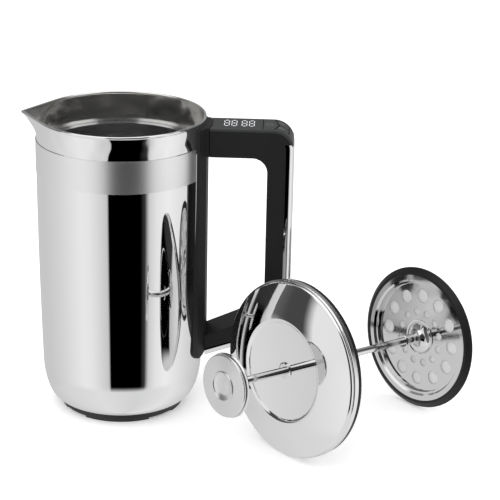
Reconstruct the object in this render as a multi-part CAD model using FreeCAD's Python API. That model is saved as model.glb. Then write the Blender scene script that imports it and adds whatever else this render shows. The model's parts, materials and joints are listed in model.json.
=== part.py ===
import FreeCAD, Part
import math
import os

V = FreeCAD.Vector
UP = V(0, 0, 1)
os.makedirs("parts", exist_ok=True)

# French press with a weighing base and a timer handle, millimetres, +Z up.
# Origin: centre of the foot ring, on the floor. Handle towards +X, pouring spout towards -X.
# The lid with its plunger lies on the floor beside the pot, leaning on its two rims.

# ---- driving sizes: pot ----
rim_z = 206.0
shell_r = 56.5
wall = 1.0
collar_r = shell_r - 0.25
waist_r = shell_r - 1.9
waist_z = 36.0
shell_bottom_z = 6.2
bottom_tuck = 10.4
band_z1 = rim_z - 16.3
band_z0 = band_z1 - 21.8
band_proud = 0.3
rim_roll = 1.0
bore_r = shell_r - 6.8
ledge_z = rim_z - 21.4
vessel_floor_z = 26.0
spout_reach = 9.6
spout_z0 = rim_z - 15.5
spout_nose = 1.6

# ---- driving sizes: foot ----
foot_r = waist_r - 11.7
pad_h = 1.1
pan_z = 16.0
pad_count = 4

# ---- driving sizes: handle ----
rail_x = shell_r + 1.2
rail_half = 13.0
rail_foot_half = 24.0
arm_z = rim_z - 5.0
handle_half = 13.5
grip_reach = 57.7
grip_x = rail_x + grip_reach
grip_depth = 17.6
arm_depth = 19.7
corner_r = 14.0
heel_r = 19.0
under_z = 37.9
rail_z0 = under_z + 0.4
under_slope = math.radians(19.0)
sill_z = under_z + 15.3
sill_slope = math.radians(24.0)
opening_r = 10.0
opening_low_r = 22.0
strip_depth = 5.5
strip_top_z = arm_z - 10.0
cover_t = 1.8
strip_round = 4.5
cover_round = 0.9
seam_r = shell_r + 4.2
button_gap = 0.45
seam_gap = 0.45
seam_depth = 1.2
button_travel = 0.8

# ---- driving sizes: lid and plunger, measured up the rod from the lid's outer circle ----
lid_r = shell_r + 2.2
dome_h = 7.2
dish_r = lid_r - 26.2
dish_drop = 3.3
rod_r = 2.5
rod_fit = 0.05
knob_r = 20.2
knob_face_s = 57.1
knob_t = 5.0
seal_clear = 0.3
seal_r = bore_r - seal_clear
seal_s = -121.2
seal_roll = 1.0
disc_r = seal_r - 4.2
lid_x = grip_x + 1.2
lid_y = -lid_r - 17.8
lean_azimuth = math.radians(-137.2)


# ---- helpers ----
def turned(points):
    """Solid of revolution about Z from closed (r, z) points."""
    wire = Part.makePolygon([V(r, 0, z) for r, z in points + points[:1]])
    return Part.Face(wire).revolve(V(), UP, 360)


def spun(edges):
    """Solid of revolution about Z from edges that close a loop in the XZ plane."""
    return Part.Face(Part.Wire(Part.__sortEdges__(edges))).revolve(V(), UP, 360)


def tube(r1, r0, z0, z1):
    ring = Part.makeCylinder(r1, z1 - z0, V(0, 0, z0))
    return ring.cut(Part.makeCylinder(r0, z1 - z0 + 2, V(0, 0, z0 - 1)))


def box(x0, x1, y0, y1, z0, z1):
    return Part.makeBox(x1 - x0, y1 - y0, z1 - z0, V(x0, y0, z0))


def slab(face, half):
    """Extrude a face lying in the XZ plane to plus and minus half in Y."""
    moved = face.copy()
    moved.translate(V(0, -half, 0))
    return moved.extrude(V(0, 2 * half, 0))


def rounded(points, radii):
    """Closed wire in the XZ plane with each corner rounded by its own radius."""
    n = len(points)
    pts = [V(x, 0, z) for x, z in points]
    edges = []
    last = None
    first = None
    for i in range(n):
        a, b, c = pts[i - 1], pts[i], pts[(i + 1) % n]
        u = (a - b).normalize()
        w = (c - b).normalize()
        half = u.getAngle(w) / 2
        r = radii[i]
        if r <= 0:
            p = q = b
            arc = None
        else:
            p = b + u * (r / math.tan(half))
            q = b + w * (r / math.tan(half))
            centre = b + (u + w).normalize() * (r / math.sin(half))
            m = centre + (b - centre).normalize() * r
            arc = Part.Arc(p, m, q).toShape()
        if last is not None and last.distanceToPoint(p) > 1e-6:
            edges.append(Part.makeLine(last, p))
        if first is None:
            first = p
        if arc:
            edges.append(arc)
        last = q
    if last.distanceToPoint(first) > 1e-6:
        edges.append(Part.makeLine(last, first))
    return Part.Wire(edges)


def soften(shape, radius, on_outline, half):
    """Round the long edges of a handle piece that lie on the handle's outline at both sides."""
    picked = []
    for edge in shape.Edges:
        mid = edge.valueAt(0.5 * (edge.FirstParameter + edge.LastParameter))
        flat = all(abs(abs(p.y) - half) < 1e-4 for p in [mid] + [v.Point for v in edge.Vertexes])
        if flat and on_outline.distToShape(Part.Vertex(mid.x, 0, mid.z))[0] < 1e-4:
            picked.append(edge)
    return shape.makeFillet(radius, picked)


def save(name, shape):
    shape.exportStep("parts/" + name + ".step")


# ---- pot: outer shell ----
arc_mid = 0.5 * (waist_r + shell_r) + 0.45
arc_mid_z = 0.5 * (waist_z + band_z0)


def skin_edges(inset, z_top):
    """Outside of the body from its flat bottom to the band, moved inwards by inset."""
    foot = V(waist_r - bottom_tuck, 0, shell_bottom_z + inset)
    hip = V(waist_r - inset, 0, waist_z)
    mid = V(arc_mid - inset, 0, arc_mid_z)
    low = V(shell_r - inset, 0, band_z0)
    centre = V(foot.x, 0, waist_z)
    ellipse = Part.Ellipse(centre, waist_z - foot.z, hip.x - foot.x)
    ellipse.Axis = V(0, -1, 0)
    ellipse.XAxis = V(0, 0, -1)
    s0 = ellipse.parameter(foot)
    s1 = ellipse.parameter(hip)
    quarter = Part.ArcOfEllipse(ellipse, min(s0, s1), max(s0, s1)).toShape()
    if quarter.BoundBox.XMax > hip.x + 0.01 or quarter.BoundBox.ZMax > waist_z + 0.01:
        quarter = Part.ArcOfEllipse(ellipse, max(s0, s1), min(s0, s1) + 2 * math.pi).toShape()
    side = Part.Arc(hip, mid, low).toShape()
    step = V(shell_r - inset, 0, band_z1)
    neck = V(collar_r - inset, 0, band_z1)
    top = V(collar_r - inset, 0, z_top)
    lines = [Part.makeLine(low, step), Part.makeLine(step, neck), Part.makeLine(neck, top)]
    return foot, top, [quarter, side] + lines


def filled_body(inset, z_top):
    foot, top, edges = skin_edges(inset, z_top)
    axis_low = V(0, 0, foot.z)
    axis_top = V(0, 0, top.z)
    close = [Part.makeLine(axis_low, foot), Part.makeLine(top, axis_top), Part.makeLine(axis_top, axis_low)]
    return spun(edges + close)


def half_beak_wire(r, reach, nose, z):
    """Half section of the spout: a line tangent to circle r that ends in a rounded nose."""
    d = r + reach - nose
    side = math.acos((r - nose) / d)
    touch = V(-r * math.cos(side), r * math.sin(side), z)
    tip = V(-d - nose * math.cos(side), nose * math.sin(side), z)
    apex = V(-d - nose, 0, z)
    bend = V(-d - nose * math.cos(side / 2), nose * math.sin(side / 2), z)
    root = V(-r * 0.5, 0, z)
    return Part.Wire([Part.makeLine(touch, tip), Part.Arc(tip, bend, apex).toShape(),
                      Part.makeLine(apex, root), Part.makeLine(root, touch)])


def beak(r, z0, z1, reach, nose):
    steps = 4
    wires = []
    for i in range(steps + 1):
        t = i / steps
        grow = 0.3 + (reach - 0.3) * (0.7 * t + 0.3 * t * t)
        wires.append(half_beak_wire(r, grow, nose, z0 + (z1 - z0) * t))
    half = Part.makeLoft(wires, True, False)
    return half.fuse(half.mirror(V(), V(0, 1, 0))).removeSplitter()


roll_z = rim_z - rim_roll
outer = filled_body(0, roll_z)
inner = filled_body(wall, roll_z + 5)
beak_out = beak(collar_r, spout_z0, roll_z, spout_reach, spout_nose)
beak_in = beak(collar_r - wall, spout_z0 + 0.6, roll_z + 0.6, spout_reach, spout_nose - 0.6)
outer = outer.fuse(beak_out)
inner_cup = inner.fuse(beak_in)
rim_path_r = collar_r - wall / 2
d_tip = rim_path_r + spout_reach - spout_nose
rim_side = math.acos((rim_path_r - spout_nose) / d_tip)
rim_touch = V(-rim_path_r * math.cos(rim_side), rim_path_r * math.sin(rim_side), roll_z)
rim_tip = V(-d_tip - spout_nose * math.cos(rim_side), spout_nose * math.sin(rim_side), roll_z)
rim_touch2 = V(rim_touch.x, -rim_touch.y, roll_z)
rim_tip2 = V(rim_tip.x, -rim_tip.y, roll_z)
rim_wire = Part.Wire([
    Part.Arc(rim_touch2, V(rim_path_r, 0, roll_z), rim_touch).toShape(),
    Part.makeLine(rim_touch, rim_tip),
    Part.Arc(rim_tip, V(-d_tip - spout_nose, 0, roll_z), rim_tip2).toShape(),
    Part.makeLine(rim_tip2, rim_touch2)])
start = Part.Wire(Part.makeCircle(rim_roll, rim_touch2, V(-rim_touch2.y, rim_touch2.x, 0)))
rim_bead = rim_wire.makePipeShell([start], True, True)
shell = outer.cut(inner_cup).fuse(rim_bead)

# ---- pot: foot, pan and wiring ----
pan_r = waist_r - bottom_tuck - 5.0
cable_r = 0.8
cable_x = bore_r + wall + 0.5 * (waist_r - wall - bore_r - wall)
shell = shell.cut(Part.makeCylinder(pan_r, 10, V(0, 0, shell_bottom_z - 5)))
pan = turned([(0, pan_z), (pan_r, pan_z), (pan_r, shell_bottom_z), (pan_r - wall, shell_bottom_z),
              (pan_r - wall, pan_z - wall), (0, pan_z - wall)])
base_screw_r = 1.5
screw_ring_r = pan_r - 10.1
screw_angles = [math.radians(60 + 120 * i) for i in range(3)]
cover_z0 = pad_h
cover_floor = 2.0
cover = turned([(0, cover_z0), (foot_r - 0.8, cover_z0), (foot_r, cover_z0 + 0.8),
                (foot_r, shell_bottom_z),
                (pan_r - wall, shell_bottom_z), (pan_r - wall, cover_z0 + cover_floor),
                (0, cover_z0 + cover_floor)])
base_screws = []
for a in screw_angles:
    at = V(screw_ring_r * math.cos(a), screw_ring_r * math.sin(a), 0)
    boss = tube(3.2, base_screw_r, cover_z0 + cover_floor, pan_z - wall)
    boss.translate(at)
    cover = cover.fuse(boss)
    seat = Part.makeCylinder(2.8, 1.6, V(at.x, at.y, cover_z0))
    hole = Part.makeCylinder(base_screw_r, 6, V(at.x, at.y, cover_z0))
    cover = cover.cut(seat).cut(hole)
    head = Part.makeCylinder(2.8, 1.4, V(at.x, at.y, cover_z0 + 0.2))
    cross = box(-1.8, 1.8, -0.4, 0.4, 0, 0.9).fuse(box(-0.4, 0.4, -1.8, 1.8, 0, 0.9))
    cross.translate(V(at.x, at.y, cover_z0 + 0.1))
    shank = Part.makeCylinder(base_screw_r, 9, V(at.x, at.y, cover_z0 + 1.6))
    base_screws.append(head.fuse(shank).cut(cross))
pad_sweep = 62.0
pad_ring = tube(foot_r - 6.5, foot_r - 8.0, 0, cover_z0 + 0.5)
for i in range(pad_count):
    pad = tube(foot_r - 1.0, foot_r - 8.0, 0, cover_z0 + 0.5)
    wedge = Part.makeCylinder(foot_r, 10, V(0, 0, -1), UP, pad_sweep)
    wedge.rotate(V(), UP, i * 360 / pad_count - pad_sweep / 2)
    pad_ring = pad_ring.fuse(pad.common(wedge))
pad_ring = pad_ring.removeSplitter()
cover = cover.cut(pad_ring)
cell_beam = box(-24, 24, -6, 6, pan_z - wall - 9.0, pan_z - wall - 1.0)
for x in (-12, 12):
    bore = Part.makeCylinder(2.6, 14, V(x * 0.35, -7, pan_z - wall - 5.0), V(0, 1, 0))
    cell_beam = cell_beam.cut(bore)
cell_feet = box(-24, -15, -6, 6, pan_z - wall - 1.0, pan_z - wall)
cell_foot2 = box(15, 24, -6, 6, cover_z0 + cover_floor, pan_z - wall - 9.0)
load_cell = cell_beam.fuse(cell_feet).fuse(cell_foot2)

# ---- pot: inner vessel ----
vessel_r = bore_r + wall
soft = 12.0
cup_low = vessel_floor_z - wall
cup_out = rounded([(0, cup_low), (vessel_r, cup_low), (vessel_r, ledge_z), (0, ledge_z)],
                  [0, soft + wall, 0, 0])
cup_in = rounded([(0, vessel_floor_z), (bore_r, vessel_floor_z), (bore_r, ledge_z + 2), (0, ledge_z + 2)],
                 [0, soft, 0, 0])
vessel = Part.Face(cup_out).revolve(V(), UP, 360).fuse(
    Part.makeCylinder(shell_r, wall, V(0, 0, ledge_z - wall)).common(filled_body(wall, roll_z)))
vessel = vessel.cut(Part.Face(cup_in).revolve(V(), UP, 360))
step_ring = tube(shell_r, bore_r + 2.6, ledge_z, ledge_z + 1.2).common(filled_body(wall, roll_z))
vessel = vessel.fuse(step_ring)

# ---- handle outline ----
back_x = shell_r - 16.5
foot_drop = under_z + (back_x - rail_x) * math.tan(under_slope)
heel_z = under_z + (grip_x - rail_x) * math.tan(under_slope)
outline = rounded([(back_x, arm_z), (grip_x, arm_z), (grip_x, heel_z), (back_x, foot_drop)],
                  [0, corner_r, heel_r, 0])
face = Part.Face(outline)


def inset_face(d):
    slide = rounded([(back_x - 20, arm_z - d), (grip_x - d, arm_z - d),
                     (grip_x - d, heel_z + d * math.tan(math.pi / 4 - under_slope / 2)),
                     (back_x - 20, foot_drop - 20 * math.tan(under_slope) + d / math.cos(under_slope))],
                    [0, corner_r - d, heel_r - d, 0])
    return Part.Face(slide)


whole = slab(face, handle_half)
core = slab(inset_face(strip_depth), handle_half + 1)
under_cover = slab(inset_face(cover_t), handle_half + 1)
open_x = grip_x - grip_depth
open_top = arm_z - arm_depth
sill_end = sill_z + (open_x - rail_x) * math.tan(sill_slope)
opening = rounded([(rail_x - 5, open_top), (rail_x - 5, sill_z - 5 * math.tan(sill_slope)),
                   (open_x, sill_end), (open_x, open_top)], [0, 0, opening_low_r, opening_r])
opening = slab(Part.Face(opening), handle_half + 5)
front = box(rail_x, 200, -50, 50, 0, 300)

# ---- handle: rail along the pot ----
rail_edge_x = shell_r - 5.9
rail_back_x = 0.5 * shell_r
half_flank = [(rail_x, rail_half), (rail_x - 4.2, rail_half + 7.4), (rail_edge_x, rail_foot_half),
              (rail_back_x, rail_foot_half)]
flank_points = half_flank + [(x, -y) for x, y in reversed(half_flank)]
flank = Part.makePolygon([V(x, y, 0) for x, y in flank_points + flank_points[:1]])
rail_top_z = roll_z - rim_roll - 0.3
rail = Part.Face(flank).extrude(V(0, 0, 300))
rail_side = rounded([(20, rail_z0), (rail_x + 0.5, rail_z0), (rail_x + 0.5, 300), (20, 300)], [0, 6.0, 0, 0])
rail = rail.common(slab(Part.Face(rail_side), 60))
rail_front = rounded([(-rail_foot_half - 0.5, rail_z0 - 1), (rail_foot_half + 0.5, rail_z0 - 1),
                      (rail_foot_half + 0.5, 300), (-rail_foot_half - 0.5, 300)], [11.0, 11.0, 0, 0])
rail_front.rotate(V(), UP, 90)
rail = rail.common(Part.Face(rail_front).extrude(V(200, 0, 0)))
seam = Part.makeCylinder(seam_r, 100, V(0, 0, open_top))
shoulder = box(back_x, seam_r, -handle_half, handle_half, open_top, arm_z).common(seam)
rail = rail.common(box(0, 200, -60, 60, 0, arm_z)).fuse(shoulder)
body_cut = filled_body(0, roll_z)
rail = rail.cut(body_cut)
band_r = shell_r + band_proud
band_tube = tube(band_r, shell_r, band_z0, band_z1)
rail_zone = box(rail_back_x, 2 * shell_r, -rail_foot_half, rail_foot_half, band_z0 - 5, band_z1 + 5)
band = band_tube.cut(rail_zone)
rail = rail.cut(Part.makeCylinder(collar_r + rim_roll + 0.6, 10, V(0, 0, rail_top_z)))

# ---- handle: cover, strip and frame ----
arm_box = box(rail_x, 200, -50, 50, strip_top_z + 0.3, 300).cut(seam)
cover_layer = whole.cut(under_cover).common(arm_box)
strip_box = box(rail_x, 200, -50, 50, 0, strip_top_z)
strip = whole.cut(core).common(strip_box).cut(box(0, grip_x - corner_r - 2, -50, 50, arm_z - 51, 300))
strip_full = strip
strip = soften(strip, strip_round, outline, handle_half)
cover_full = cover_layer
cover_layer = soften(cover_layer, cover_round, outline, handle_half)
frame = whole.common(front).cut(opening).cut(cover_full).cut(strip_full)
frame = frame.cut(seam)
groove = Part.makeCylinder(seam_r + seam_gap, 100, V(0, 0, open_top)).cut(seam)
groove = groove.common(front).cut(slab(inset_face(seam_depth), handle_half - seam_depth))
frame = frame.cut(groove)
cover_layer = cover_layer.cut(groove)

# ---- handle: room for the electronics and batteries ----
skin = 2.0
pocket_half = handle_half - skin
pocket_z = open_top + skin
board_z = arm_z - 9.4
board_t = 1.2
pocket = slab(inset_face(cover_t), pocket_half)
frame = frame.cut(pocket.common(box(seam_r + 2.5, grip_x - strip_depth - 1.5, -50, 50, pocket_z, 300)))
frame = frame.cut(pocket.common(box(seam_r + 2.5, grip_x - 4, -50, 50, board_z - 0.5, 300)))
cell_len = 44.5
cell_r = 5.25
cell_x = open_x + 1.8 + cell_r + 0.6
cell_y = cell_r + 0.35
cell_z0 = arm_z - 86.0
bay = box(open_x + 1.8, grip_x, -pocket_half, pocket_half, cell_z0 - 3, cell_z0 + cell_len + 3)
frame = frame.cut(bay)
strip_t = 1.5
strip = strip.cut(slab(inset_face(strip_t), handle_half - 2.2).common(box(rail_x + 3, 200, -50, 50, 0, 300)))
batteries = []
contacts = []
for side in (-1, 1):
    can = Part.makeCylinder(cell_r, cell_len - 1, V(cell_x, side * cell_y, cell_z0))
    nub = Part.makeCylinder(2.7, 1, V(cell_x, side * cell_y, cell_z0 + cell_len - 1))
    batteries.append(can.fuse(nub))
    contacts.append(Part.makeCylinder(2.4, 2.4, V(cell_x, side * cell_y, cell_z0 - 2.4)))
    contacts.append(Part.makeCylinder(2.0, 2.4, V(cell_x, side * cell_y, cell_z0 + cell_len)))
low_plate = box(cell_x - 4, cell_x + 4, -9.5, 9.5, cell_z0 - 3, cell_z0 - 2.4)
high_plate = box(cell_x - 4, cell_x + 4, -9.5, 9.5, cell_z0 + cell_len + 2.4, cell_z0 + cell_len + 3)
contact_low = low_plate.fuse([contacts[0], contacts[2]])
contact_high = high_plate.fuse([contacts[1], contacts[3]])

board = box(seam_r + 4.3, grip_x - 5, -10.5, 10.5, board_z, board_z + board_t)
for x in (seam_r + 8, grip_x - 22):
    post = Part.makeCylinder(1.8, board_z - pocket_z + skin / 2, V(x, 7.5, pocket_z - skin / 2))
    frame = frame.fuse(post)
display_x0 = seam_r + 6.0
display_x1 = grip_x - 23.9
display = box(display_x0, display_x1, -8.5, 8.5, board_z + board_t, arm_z - cover_t)

# ---- handle: three buttons in the cover ----
key_x0 = grip_x - 20.9
key_x1 = grip_x - 13.8
key_peak = 3.0
key_split = 0.8
key_half = handle_half - 1.6
power_plan = [(key_x0, -key_half), (key_x1, -key_half), (key_x1 + key_peak, 0), (key_x1, key_half),
              (key_x0, key_half)]
far_x = grip_x - 4.2
notch = key_half - 1.2
side_plan = [(key_x1 + key_peak + key_split, key_split / 2), (far_x, key_split / 2), (far_x, notch - 2.5),
             (far_x - 2.5, notch), (key_x1 + key_split + key_peak * (1 - notch / key_half), notch)]


def prism(plan, grow=0.0):
    wire = Part.makePolygon([V(x, y, 0) for x, y in plan + plan[:1]])
    if grow > 0:
        wire = wire.makeOffset2D(grow, 2)
    return Part.Face(wire).extrude(V(0, 0, 300))


layer = whole.cut(under_cover).common(arm_box)
stem_end = arm_z - 4.8
keys = []
switches = []
key_room = whole.cut(slab(inset_face(cover_t + button_travel + button_gap), handle_half + 1)).common(arm_box)
other_plan = [(x, -y) for x, y in reversed(side_plan)]
power_stem = (key_x0 + 4.1, 0)
side_stem_x = grip_x - 7.8
side_stem_y = 5.6
for plan, at in ((power_plan, power_stem), (side_plan, (side_stem_x, side_stem_y)),
                 (other_plan, (side_stem_x, -side_stem_y))):
    cap = prism(plan).common(layer)
    stem = Part.makeCylinder(1.4, 300, V(at[0], at[1], stem_end))
    stem = stem.common(slab(inset_face(cover_t / 2), handle_half)).common(arm_box)
    keys.append(cap.fuse(stem))
    cover_layer = cover_layer.cut(prism(plan, button_gap))
    frame = frame.cut(prism(plan, button_gap).common(key_room))
    switch = box(-2.2, 2.2, -2.2, 2.2, board_z + board_t, stem_end - 1.3)
    switch.translate(V(at[0], at[1], 0))
    switches.append(switch)
switch_set = switches[0].fuse(switches[1]).fuse(switches[2])

# ---- handle: lit digits, all seven bars of each ----
digit_w = 3.7
digit_h = 12.6
bar = 0.54
digit_y = 1.0
glow_z = arm_z - 0.35
glow_top = arm_z + 0.05


def digit(x):
    """Seven bars of one digit whose left edge is at x and whose top points to +Y."""
    half_h = digit_h / 2
    gap = 0.36
    bars = []
    for y in (-half_h, 0, half_h):
        at = digit_y + y
        bars.append(box(x + bar + gap, x + digit_w - bar - gap, at - bar, at + bar, glow_z, glow_top))
    for bx in (x, x + digit_w - bar):
        for y in (-half_h, 0):
            at = digit_y + y
            bars.append(box(bx, bx + bar, at + bar + gap, at + half_h - bar - gap, glow_z, glow_top))
    return bars


def digits(x_first):
    bars = digit(x_first) + digit(x_first + digit_w + 1.2)
    return bars[0].fuse(bars[1:])


digit_x0 = seam_r + 7.7
digit_group = 11.6
digits_left = digits(digit_x0)
digits_right = digits(digit_x0 + digit_group)
cover_layer = cover_layer.cut(digits_left).cut(digits_right)

# ---- handle: screws ----
upper_z = arm_z - 6.5
shoulder_bite = 2.2
bite_x = seam_r - shoulder_bite
along = V(1, 0, 0)
arm_screw_upper = Part.makeCylinder(1.5, shoulder_bite + 2.5, V(bite_x, 0, upper_z), along)
head = Part.makeCylinder(2.7, 1.6, V(seam_r + 2.5, 0, upper_z), along)
arm_screw_upper = arm_screw_upper.fuse(head)
rail = rail.cut(arm_screw_upper)
frame = frame.cut(arm_screw_upper)
lug_h = 3.4
lug_z = sill_z - 1.4 - lug_h
lug = box(rail_x - 1.5, rail_x + 10, -5, 5, lug_z, lug_z + lug_h).cut(body_cut)
rail = rail.fuse(lug)
frame = frame.cut(lug)
low_x = rail_x + 5.5
under_frame = under_z + (low_x - rail_x) * math.tan(under_slope) + strip_depth / math.cos(under_slope)
head_z = under_frame + 0.3
frame = frame.cut(Part.makeCylinder(3.2, 10, V(low_x, 0, head_z + 1.3 - 10)))
arm_screw_lower = Part.makeCylinder(2.8, 1.3, V(low_x, 0, head_z)).fuse(
    Part.makeCylinder(1.5, lug_z + lug_h - 0.5 - head_z, V(low_x, 0, head_z)))
frame = frame.cut(arm_screw_lower)
rail = rail.cut(arm_screw_lower)
down = V(math.sin(under_slope), 0, -math.cos(under_slope))
strip_screw_x = grip_x - 29.4
screw_at = V(strip_screw_x, 0, under_z + (strip_screw_x - rail_x) * math.tan(under_slope))
boss = Part.makeCylinder(3.5, strip_depth - strip_t + 1, screw_at - down * (strip_depth + 1), down)
frame = frame.fuse(boss)
strip_screw = Part.makeCone(2.8, 1.5, 1.3, screw_at - down * 0.15, down * -1).fuse(
    Part.makeCylinder(1.5, 9, screw_at - down * 1.4, down * -1))
frame = frame.cut(strip_screw)
strip = strip.cut(strip_screw).cut(Part.makeCylinder(2.8, 1, screw_at - down * 0.15, down))
driver = box(-1.6, 1.6, -0.35, 0.35, -0.1, 0.8).fuse(box(-0.35, 0.35, -1.6, 1.6, -0.1, 0.8))
driver.rotate(V(), V(0, 1, 0), -math.degrees(under_slope))
driver.translate(screw_at - down * 0.15)
strip_screw = strip_screw.cut(driver)

# ---- signal cable from the load cell to the display board ----
exit_z = open_top + 1.25
enter_z = pocket_z + 3.6
channel_x = 0.5 * (shell_r + seam_r)
start_x = 28.0
start_z = pan_z - 5.0
duct_z = pan_z + 4.5
run = [V(start_x, 0, start_z), V(start_x, 0, duct_z), V(cable_x, 0, duct_z), V(cable_x, 0, exit_z),
       V(channel_x, 0, exit_z),
       V(channel_x, 0, enter_z), V(seam_r + 8, 0, enter_z), V(seam_r + 8, 0, board_z)]


def cable_run(r):
    body = None
    for a, b in zip(run, run[1:]):
        leg = Part.makeCylinder(r, (b - a).Length, a, b - a)
        knee = Part.makeSphere(r, b)
        body = leg.fuse(knee) if body is None else body.fuse([leg, knee])
    return body.cut(Part.makeBox(20, 20, 10, V(seam_r - 2, -10, board_z)))


cable = cable_run(cable_r)
tunnel = cable_run(cable_r + 0.3)
shell = shell.cut(tunnel)
pan = pan.cut(tunnel)
rail = rail.cut(tunnel)
frame = frame.cut(tunnel)
cable = cable.cut(load_cell)

# ---- lid, upright: Z runs up the rod, zero at its outer circle ----
sheet = 1.0
ring_top_s = -0.8
ring_low_s = -5.4
ring_roll = 1.2
ring_s = ring_low_s + ring_roll
dish_s = dome_h - dish_drop
bush_r = 4.0
dome_edge_r = lid_r - 0.4


def dome_curve(drop, inset):
    """Outer lip, convex shoulder, soft crest and hollow dish, as edges from the lip to the centre hole."""
    lip = V(dome_edge_r - inset, 0, -0.4)
    lip_up = V(dome_edge_r - inset, 0, 0.2 - 0.3 * inset)
    brow = V(dome_edge_r - 1.6 - inset * 0.3, 0, 1.9 - drop)
    slope = V(0.5 * (dome_edge_r + dish_r) + 0.6, 0, 0.69 * dome_h - drop)
    crest = V(dish_r + 2.2, 0, dome_h - drop)
    turn = V(dish_r + 0.7, 0, dome_h - 0.28 - drop)
    fall = V(dish_r - 0.6, 0, dome_h - 1.2 - drop)
    bowl = V(0.52 * dish_r, 0, dish_s + 0.27 * (dome_h - 1.2 - dish_s) - drop)
    eye = V(bush_r, 0, dish_s + 0.05 - drop)
    corner = V(dome_edge_r - 0.45 - inset * 0.7, 0, 1.25 - drop * 0.7)
    return lip, eye, [Part.makeLine(lip, lip_up), Part.Arc(lip_up, corner, brow).toShape(),
                      Part.Arc(brow, slope, crest).toShape(), Part.Arc(crest, turn, fall).toShape(),
                      Part.Arc(fall, bowl, eye).toShape()]


lip0, eye0, skin0 = dome_curve(0, 0)
lip1, eye1, skin1 = dome_curve(sheet, sheet)
dome = spun(skin0 + skin1 + [Part.makeLine(lip0, lip1), Part.makeLine(eye0, eye1)])
ring_in = bore_r + 1.3
ring_wire = rounded([(ring_in, ring_top_s), (ring_in, ring_low_s), (lid_r, ring_low_s), (lid_r, ring_top_s)],
                    [0, 0, ring_roll, ring_roll])
rim_ring = Part.Face(ring_wire).revolve(V(), UP, 360)
collar = tube(dome_edge_r - sheet, dome_edge_r - sheet - 2.5, ring_top_s, -0.2)
rim_ring = rim_ring.fuse(collar)
gasket_s0 = ring_low_s
gasket_s1 = gasket_s0 - 2.8
skirt_r = bore_r + 2.7
gasket = turned([(skirt_r, gasket_s0), (lid_r - 0.9, gasket_s0), (lid_r - 0.5, gasket_s0 - 0.5),
                 (lid_r - 0.5, gasket_s1 + 0.6), (lid_r - 1.1, gasket_s1), (skirt_r, gasket_s1)])
under_s = gasket_s1 - 2.2
bush_low = under_s - 0.8
plate = turned([(bush_r, under_s), (skirt_r - 1.2, under_s), (skirt_r, under_s + 1.2), (skirt_r, gasket_s0),
                (skirt_r - sheet, gasket_s0), (skirt_r - sheet, under_s + sheet), (bush_r, under_s + sheet)])
bush = turned([(rod_r + rod_fit, bush_low), (bush_r + 2, bush_low), (bush_r + 2, under_s), (bush_r, under_s),
               (bush_r, dish_s + 0.05), (bush_r + 1.6, dish_s + 0.05), (bush_r + 1.6, dish_s + 0.5),
               (bush_r + 0.6, dish_s + 1.0), (rod_r + rod_fit, dish_s + 1.0)])
dome = dome.cut(bush)

# ---- plunger, upright in the same frame ----
knob_mid = knob_face_s - 2.4
knob_low = knob_face_s - knob_t
dimple_r = 8.5
knob_edge_r = knob_r - 0.9
dimple = Part.makeSphere(30.0, V(0, 0, knob_face_s + 30.0 - 1.25))
knob_edge_low = V(knob_edge_r, 0, knob_mid)
knob_edge_high = V(knob_edge_r, 0, knob_mid + 1.9)
knob_crown = V(knob_r * 0.6, 0, knob_face_s - 0.12)
knob_face = spun([
    Part.makeLine(V(rod_r, 0, knob_mid), knob_edge_low),
    Part.Arc(knob_edge_low, V(knob_r, 0, knob_mid + 1.1), knob_edge_high).toShape(),
    Part.Arc(knob_edge_high, knob_crown, V(0, 0, knob_face_s)).toShape(),
    Part.makeLine(V(0, 0, knob_face_s), V(0, 0, knob_face_s - 1.8)),
    Part.makeLine(V(0, 0, knob_face_s - 1.8), V(rod_r, 0, knob_face_s - 1.8)),
    Part.makeLine(V(rod_r, 0, knob_face_s - 1.8), V(rod_r, 0, knob_mid))])
knob_face = knob_face.cut(Part.makeCylinder(dimple_r + 1.3, 5, V(0, 0, knob_face_s - 0.7)))
badge = Part.makeCylinder(dimple_r + 1.3, 1.0, V(0, 0, knob_face_s - 0.7)).cut(dimple)
badge = badge.fuse(Part.makeTorus(dimple_r + 0.65, 0.6, V(0, 0, knob_face_s + 0.1)))
badge = badge.cut(knob_face)
knob_back = turned([(rod_r, knob_low - 1.6), (5.5, knob_low - 1.6), (6.2, knob_low), (knob_r - 0.6, knob_low),
                    (knob_r + 0.3, knob_low + 0.5), (knob_r + 0.6, knob_low + 1.1),
                    (knob_r + 0.3, knob_mid - 0.5),
                    (knob_r - 1.2, knob_mid - 0.4), (knob_r - 1.2, knob_mid), (rod_r, knob_mid)])
disc_s = seal_s + 2.7
sieve_s = disc_s - 4.1
rod_low = sieve_s - 3.3
rod = Part.makeCylinder(rod_r, knob_face_s - 1.8 - rod_low, V(0, 0, rod_low))

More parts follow.
